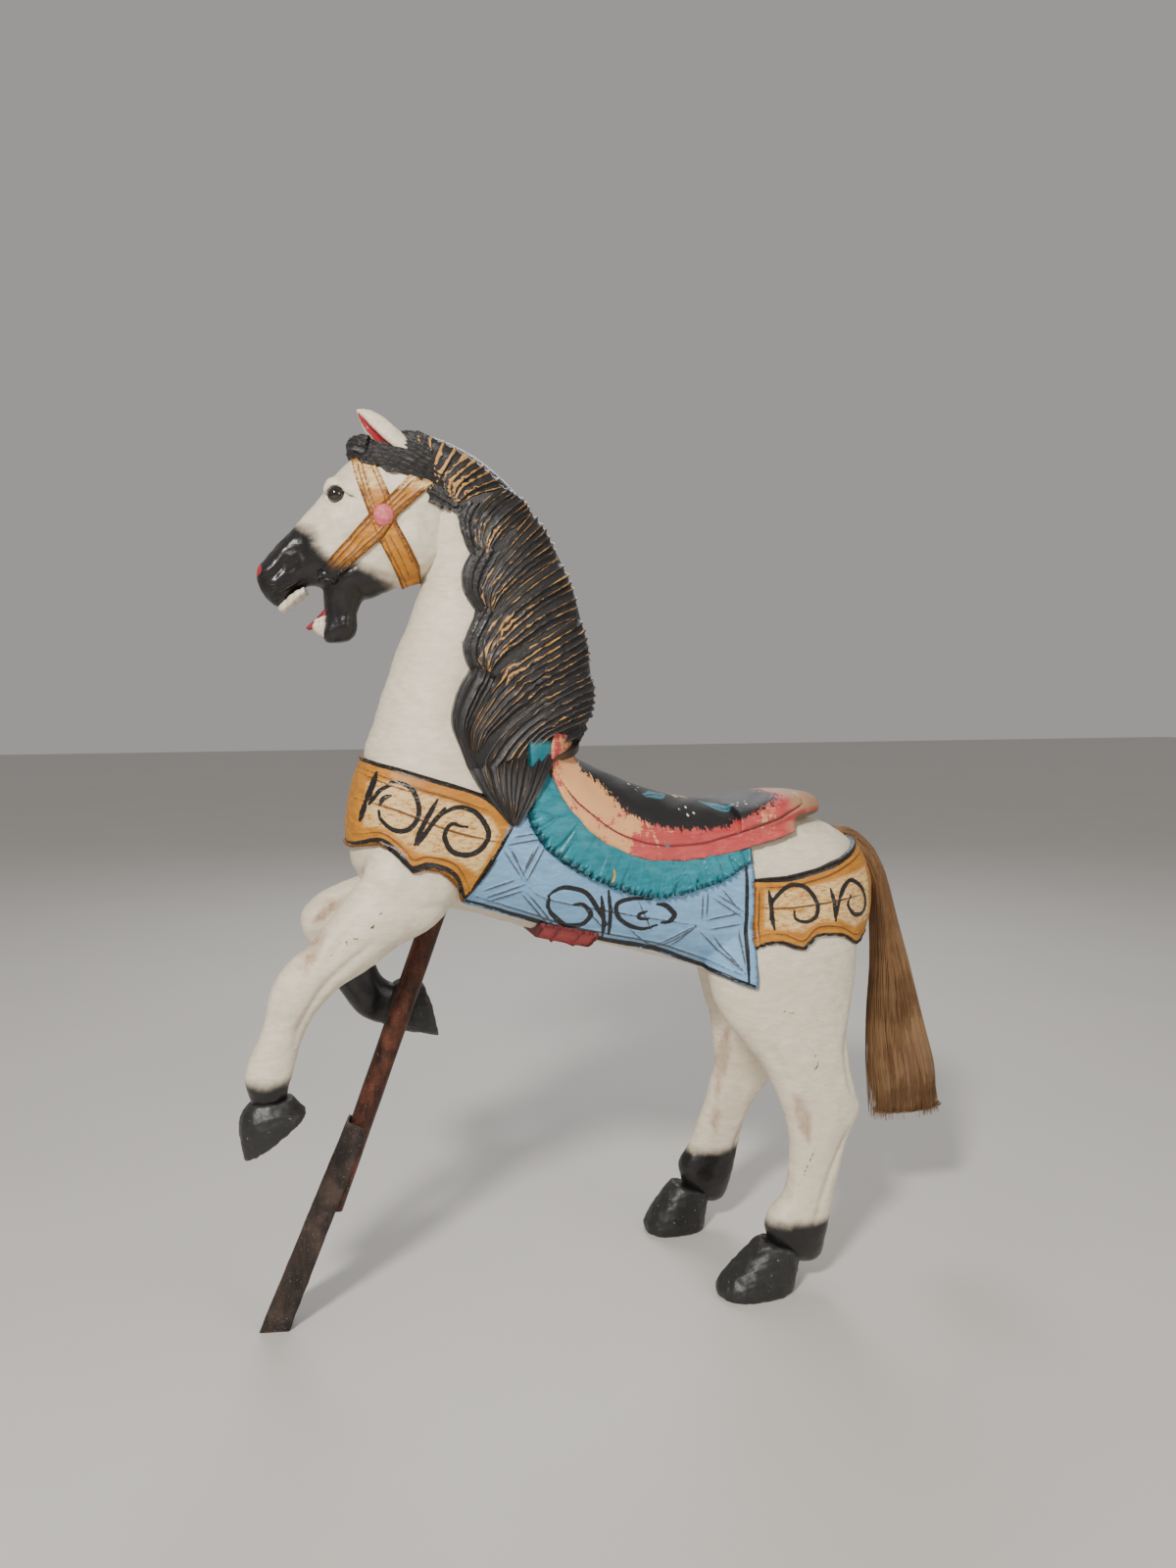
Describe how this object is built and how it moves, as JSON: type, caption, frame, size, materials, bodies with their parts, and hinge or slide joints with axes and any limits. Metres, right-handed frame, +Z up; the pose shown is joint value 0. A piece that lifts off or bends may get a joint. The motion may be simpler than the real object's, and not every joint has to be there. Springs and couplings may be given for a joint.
{
  "type": "carousel horse",
  "caption": "Carved and painted carousel horse, rearing on its hind hooves, held up in front by a steel prop.",
  "frame": {"origin": "on the floor, under the middle of the whole object's box", "axes": "+Z up, the horse faces -X, its left side is towards -Y"},
  "size_m": [0.893, 0.2388, 0.999],
  "materials": {
    "painted_wood": "aged satin oil paint on carved wood",
    "eye_glass": "polished dark glass",
    "tail_hair": "brown horse hair",
    "rod_steel": "dark red-brown patina",
    "leg_steel": "dull grey-brown patina"
  },
  "bodies": {
    "root": {"carved_horse": "painted_wood", "eye_left": "eye_glass", "eye_right": "eye_glass", "hair_tail": "tail_hair", "prop_rod": "rod_steel", "prop_leg": "leg_steel"}
  },
  "joints": []
}
